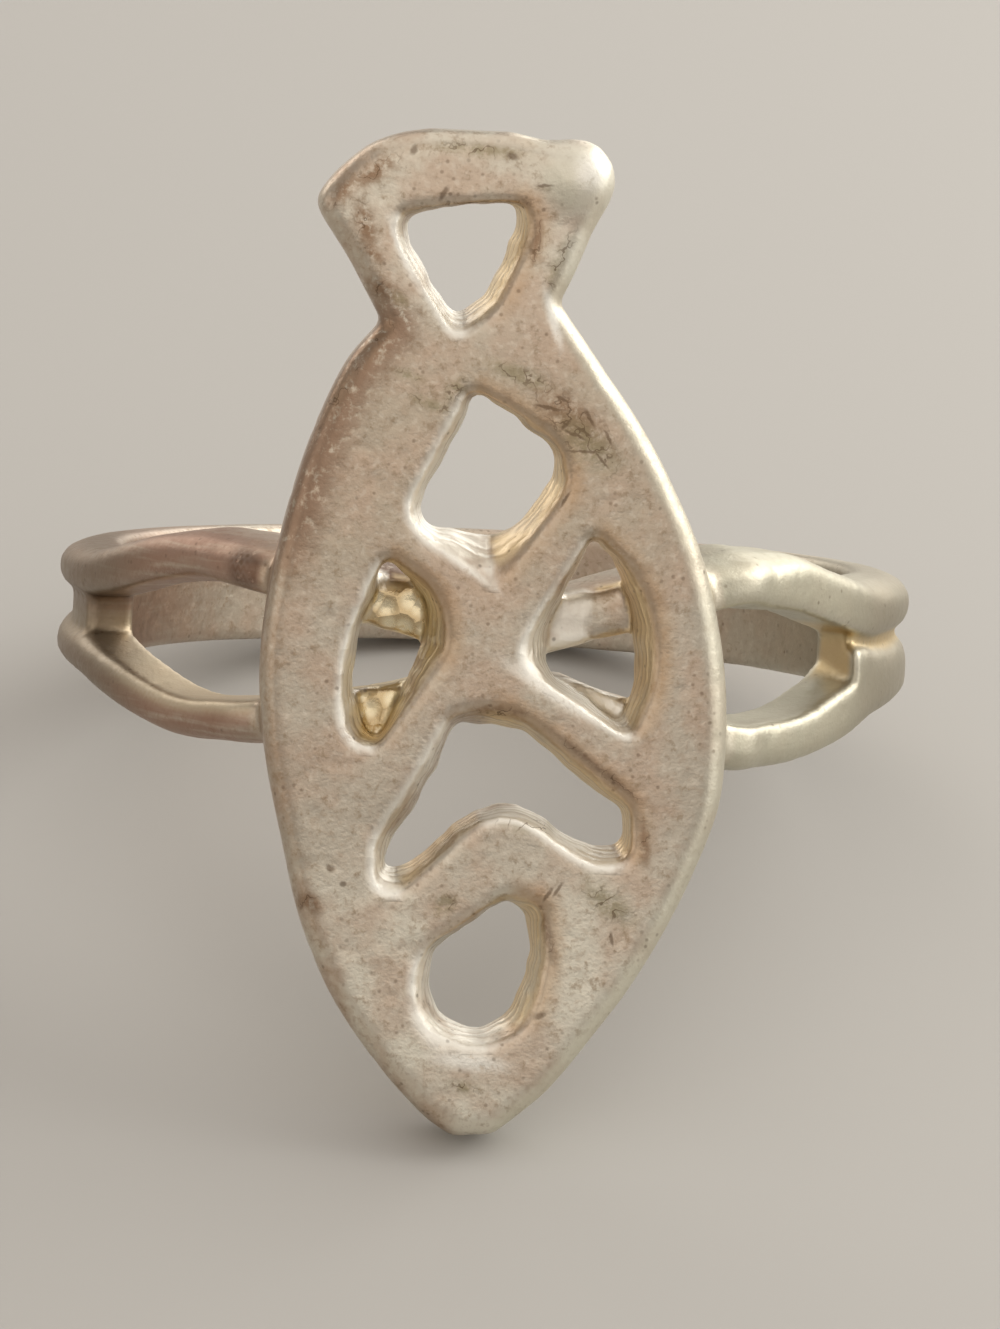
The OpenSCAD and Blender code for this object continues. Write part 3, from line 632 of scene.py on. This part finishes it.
# What tints the silver, one over the other: where, the pattern that breaks it up with its
# values at none and at the most, how much at the most, and the colour.
patchy = add(tree, "ShaderNodeMapRange", {"Value": fleck, "From Min": 0.30, "From Max": 0.52})
patchy = patchy.outputs[0]
fin_wires = add(tree, "ShaderNodeMapRange",
                {"Value": on["wall"], "From Min": 0.7, "From Max": 0.2})
fin_wires = add(tree, "ShaderNodeMath", {0: on["left_fin"], 1: fin_wires.outputs[0]},
                operation="MULTIPLY").outputs[0]
colour = linear("#C2B8A8")
for where, pattern, start, end, most, code in (
        (on["pale"], None, 0, 1, 1.0, "#E0DACA"),
        (on["upper_half"], None, 0, 1, 0.5, "#B5A590"),
        (1.0, cloud, 0.42, 0.62, 0.7, "#C2AC98"),  # pinkish clouds
        (1.0, fine, 0.56, 0.70, 0.3, "#A58F79"),
        (1.0, fine, 0.44, 0.30, 0.2, "#EAE4D6"),
        (1.0, fleck, 0.56, 0.70, 0.6, "#9A866E"),
        (on["right_wires"], None, 0, 1, 0.8, "#C2BFAC"),
        (on["left_wires"], streak, 0.1, 0.5, 0.9, "#9E7E6C"),
        (on["rubbed"], None, 0, 1, 0.75, "#D2C4A6"),
        # painted shade on the far lobes
        (on["shaded_far_lobes"], None, 0, 1, 0.8, "#857766"),
        # painted shade by the plate and on the wire's top in the left fin
        (on["shade_by_plate"], patchy, 0.0, 0.5, 0.9, "#6B5040"),
        (on["yellow_web"], None, 0, 1, 0.7, "#D8BE8A"),
        # tarnish and painted shade on the rims that face left
        (on["tarnish_and_shade_rim"], patchy, 0.0, 1.0, 0.3, "#A98A6C"),
        # painted highlight on the rims that face right and on the lump
        (on["lit_right_rim"], None, 0, 1, 0.6, "#D9D6C4"),
        # painted shade along the lips turned from the light
        (on["shaded_lip"], None, 0, 1, 0.55, "#B8956E"),
        (on["spread"], patchy, 0.1, 0.8, 0.9, "#947A66"),
        (on["brown"], patchy, 0.0, 1.0, 1.0, "#967D66"),
        (on["olive"], patchy, 0.0, 1.0, 0.7, "#948A6E"),
        # painted warm reflection on the walls that face away from the light
        (on["reflected_gold"], cloud, 0.2, 0.5, 0.85, "#F2DEB8"),
        (on["left_fin"], None, 0, 1, 1.0, "#EADCBA"),
        (fin_wires, facet, 0.30, 0.55, 0.5, "#A8844A"),
        # painted highlight on edges and walls that face the light
        (on["chipped_and_lit_edges"], cloud, 0.75, 0.55, 0.95, "#FAF7EE"),
        (on["wall"], layer, 0.3, 1.0, 0.3, "#94744E"),
        # hollows: tarnish, partly painted shade
        (1.0, on["bulge"], -0.03, -0.14, 0.35, "#9E8768"),  # hollows
        (1.0, on["bulge"], 0.03, 0.14, 0.6, "#F0ECE0"),  # worn edges
        # painted highlights on lips facing the light, partly worn polish
        (on["polish_and_highlight"], patchy, 0.0, 0.7, 0.9, "#FAF7EE"),
        (pit, None, 0, 1, 0.65, "#63503D")):
    if pattern is not None:
        most = add(tree, "ShaderNodeMapRange", {"Value": pattern, "From Min": start,
                                                "From Max": end, "To Max": most}).outputs[0]
    factor = add(tree, "ShaderNodeMath", {0: where, 1: most}, operation="MULTIPLY").outputs[0]
    colour = add(tree, "ShaderNodeMix", {"Factor": factor, "A": colour, "B": linear(code)},
                 data_type="RGBA").outputs[2]

# Satin all over, more matt on worn edges, on the edges and walls with painted highlight, and on
# the wires, shinier in the left fin.
worn_edge = add(tree, "ShaderNodeMapRange",
                {"Value": on["bulge"], "From Min": 0.03, "From Max": 0.14}).outputs[0]
rough = add(tree, "ShaderNodeMapRange", {"Value": fleck, "From Min": 0.3, "From Max": 0.7,
                                         "To Min": 0.30, "To Max": 0.42}).outputs[0]
for mask, change in ((worn_edge, 0.05), (on["chipped_and_lit_edges"], 0.18), (on["reflected_gold"], 0.08),
                     (on["wires"], 0.08), (on["lit_right_rim"], 0.08), (on["left_fin"], -0.08)):
    rough = add(tree, "ShaderNodeMath", {0: mask, 1: change, 2: rough},
                operation="MULTIPLY_ADD").outputs[0]

# Relief of the skin in millimetres.
carved = add(tree, "ShaderNodeMath", {0: on["left_fin"], 1: 0.08}, operation="MULTIPLY").outputs[0]
carved = add(tree, "ShaderNodeMath", {0: on["chipped_and_lit_edges"], 1: 0.04, 2: carved},
             operation="MULTIPLY_ADD").outputs[0]
relief_mm = 0.0
for mask, height_mm in ((grain, 0.004), (facet, carved), (layer, 0.008), (fleck, 0.010)):
    relief_mm = add(tree, "ShaderNodeMath", {0: mask, 1: height_mm, 2: relief_mm},
                    operation="MULTIPLY_ADD").outputs[0]
bump = add(tree, "ShaderNodeBump", {"Height": relief_mm, "Strength": 1.0, "Distance": 0.001})
surface = add(tree, "ShaderNodeBsdfPrincipled", {
    "Base Color": colour, "Metallic": 1.0, "Roughness": rough, "Normal": bump.outputs["Normal"]})
add(tree, "ShaderNodeOutputMaterial", {"Surface": surface.outputs["BSDF"]})

# The casting skin: shallow ripples where the wax was smoothed by hand and small dents
# from the tumbler, moved in the mesh itself. Sizes in millimetres.
skin = bpy.data.node_groups.new("casting skin", "GeometryNodeTree")
sizes = {"Ripple height": 0.024, "Ripple width": 0.9, "Dent depth": 0.014, "Dent width": 0.45,
         "Wall height": 0.24, "Wall width": 0.70, "Seed": 4.0}
skin.interface.new_socket("Geometry", in_out="INPUT", socket_type="NodeSocketGeometry")
sockets = {name: skin.interface.new_socket(name, in_out="INPUT", socket_type="NodeSocketFloat")
           for name in sizes}
skin.interface.new_socket("Geometry", in_out="OUTPUT", socket_type="NodeSocketGeometry")
given = add(skin, "NodeGroupInput").outputs
at = add(skin, "GeometryNodeInputPosition").outputs[0]
at = add(skin, "ShaderNodeVectorMath", {0: at, "Scale": 1000.0}, operation="SCALE").outputs[0]
on_wall, plate_x, plate_z = [
    add(skin, "GeometryNodeInputNamedAttribute", {"Name": name}).outputs[0]
    for name in ("wall", "fish_x", "fish_z")]
on_plate = add(skin, "ShaderNodeCombineXYZ", {"X": plate_x, "Y": plate_z}).outputs[0]
waves = {}
for kind, where, detail in (("Ripple width", at, 1.0), ("Dent width", at, 0.0),
                            ("Wall width", on_plate, 1.0)):
    per_mm = add(skin, "ShaderNodeMath", {0: 1.0, 1: given[kind]}, operation="DIVIDE").outputs[0]
    waves[kind] = add(skin, "ShaderNodeTexNoise", {
        "Vector": where, "W": given["Seed"], "Scale": per_mm, "Detail": detail},
        noise_dimensions="4D").outputs[0]
ripple = add(skin, "ShaderNodeMath", {0: waves["Ripple width"], 1: 0.5}, operation="SUBTRACT")
ripple = add(skin, "ShaderNodeMath", {0: ripple.outputs[0], 1: given["Ripple height"]},
             operation="MULTIPLY")
dent = add(skin, "ShaderNodeMapRange", {
    "Value": waves["Dent width"], "From Min": 0.58, "From Max": 0.75},
    interpolation_type="SMOOTHSTEP")
dent = add(skin, "ShaderNodeMath", {0: dent.outputs[0], 1: given["Dent depth"]},
           operation="MULTIPLY")
rise = add(skin, "ShaderNodeMath", {0: ripple.outputs[0], 1: dent.outputs[0]},
           operation="SUBTRACT").outputs[0]
# The walls of the cutouts were never smoothed, so they wave more.
wave = add(skin, "ShaderNodeMath", {0: waves["Wall width"], 1: 0.5}, operation="SUBTRACT")
wave = add(skin, "ShaderNodeMath", {0: wave.outputs[0], 1: given["Wall height"]},
           operation="MULTIPLY")
rise = add(skin, "ShaderNodeMath", {0: on_wall, 1: wave.outputs[0], 2: rise},
           operation="MULTIPLY_ADD").outputs[0]
rise = add(skin, "ShaderNodeMath", {0: rise, 1: 0.001}, operation="MULTIPLY").outputs[0]
normal = add(skin, "GeometryNodeInputNormal").outputs[0]
move = add(skin, "ShaderNodeVectorMath", {0: normal, "Scale": rise}, operation="SCALE").outputs[0]
shaped = add(skin, "GeometryNodeSetPosition",
             {"Geometry": given["Geometry"], "Offset": move}).outputs[0]
shaped = add(skin, "GeometryNodeRealizeInstances", {"Geometry": shaped}).outputs[0]
shaped = add(skin, "GeometryNodeSetMaterial", {"Geometry": shaped, "Material": silver}).outputs[0]
add(skin, "NodeGroupOutput", {"Geometry": shaped})
modifier = cutout_ring.modifiers.new("casting skin", "NODES")
modifier.node_group = skin
for name, socket in sockets.items():
    modifier[socket.identifier] = sizes[name]
depsgraph = bpy.context.evaluated_depsgraph_get()
shaped_mesh = bpy.data.meshes.new_from_object(
    cutout_ring.evaluated_get(depsgraph), preserve_all_data_layers=True, depsgraph=depsgraph)
cutout_ring.modifiers.clear()
cutout_ring.data = shaped_mesh

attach(cutout_ring, "root")
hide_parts("ring")

# Floor and light.
# A plain pale tabletop under seven soft lights: large ones above and in front, and cards
# round the sides that are stronger on the right, so that the rims there shine and those
# on the left stay dark.
FLOOR_HALF = 0.6
floor_mesh = bpy.data.meshes.new("floor")
floor_mesh.from_pydata([(x * FLOOR_HALF, y * FLOOR_HALF, 0) for x, y in
                        ((-1, -1), (1, -1), (1, 1), (-1, 1))], [], [(0, 1, 2, 3)])
floor = bpy.data.objects.new("floor", floor_mesh)
bpy.context.scene.collection.objects.link(floor)
paper = bpy.data.materials.new("pale_paper")
paper.use_nodes = True
paper.node_tree.nodes["Principled BSDF"].inputs["Base Color"].default_value = linear("#B6B4B0")
paper.node_tree.nodes["Principled BSDF"].inputs["Roughness"].default_value = 0.9
floor_mesh.materials.append(paper)

LIGHTS = {  # place from the ring's middle in mm, size in mm, watts, colour
    "box_right": ((115, 35, 70), (110, 110), 0.115, "#FFFDF8"),
    "card_right": ((130, -50, 30), (100, 70), 0.025, "#FFFDF8"),
    "card_back": ((95, 160, 30), (170, 110), 0.12, "#FFFDF8"),
    "card_left": ((-110, 160, 30), (150, 110), 0.07, "#FFF8F0"),
    "card_side": ((-150, -40, 30), (130, 80), 0.022, "#FFF6EC"),
    "box_top": ((0, 60, 160), (260, 260), 0.13, "#FFF8F0"),
    "box_front": ((-15, -135, 120), (250, 180), 0.095, "#FFF6EC")}
middle = Vector((0, 0, 10))
for name, (at, size, power, tint) in LIGHTS.items():
    light = bpy.data.lights.new(name, "AREA")
    light.shape, light.size, light.size_y = "RECTANGLE", size[0] / 1000, size[1] / 1000
    light.energy, light.color = power, linear(tint)[:3]
    lamp = bpy.data.objects.new(name, light)
    lamp.location = (Vector(at) + middle) / 1000
    lamp.rotation_euler = (-Vector(at)).to_track_quat("-Z", "Y").to_euler()
    bpy.context.scene.collection.objects.link(lamp)
world = bpy.data.worlds.new("studio")
world.use_nodes = True
world.node_tree.nodes["Background"].inputs["Color"].default_value = linear("#FFF8F0")
world.node_tree.nodes["Background"].inputs["Strength"].default_value = 0.40
bpy.context.scene.world = world
bpy.context.scene.view_settings.view_transform = "Standard"

# The camera.
# A close view square on the plate, 2.5 degrees to its left and 5.8 above, from 150 mm.
TO_LEFT, ABOVE = math.radians(2.5), math.radians(5.8)
SENSOR = 36
ahead = Vector((math.sin(TO_LEFT) * math.cos(ABOVE), math.cos(TO_LEFT) * math.cos(ABOVE),
                -math.sin(ABOVE)))
right = Vector((math.cos(TO_LEFT), -math.sin(TO_LEFT), 0))
upward = right.cross(ahead)
stand = Matrix((right, upward, -ahead)).transposed().to_4x4()
stand.translation = (-6.61, -160.75, 15.22)
stand = rest @ Matrix.Rotation(-PLATE_TURN, 4, "Y") @ stand
camera = bpy.data.objects.new("camera", bpy.data.cameras.new("camera"))
turn = stand.to_quaternion().to_matrix().to_4x4()
camera.matrix_world = Matrix.Translation(stand.translation) @ turn
camera.data.sensor_fit = "HORIZONTAL"
camera.data.sensor_width = SENSOR
camera.data.lens = SENSOR * 6.75  # the frame is 22 mm wide at the ring
camera.data.clip_start, camera.data.clip_end = 0.005, 5
bpy.context.scene.collection.objects.link(camera)
bpy.context.scene.camera = camera
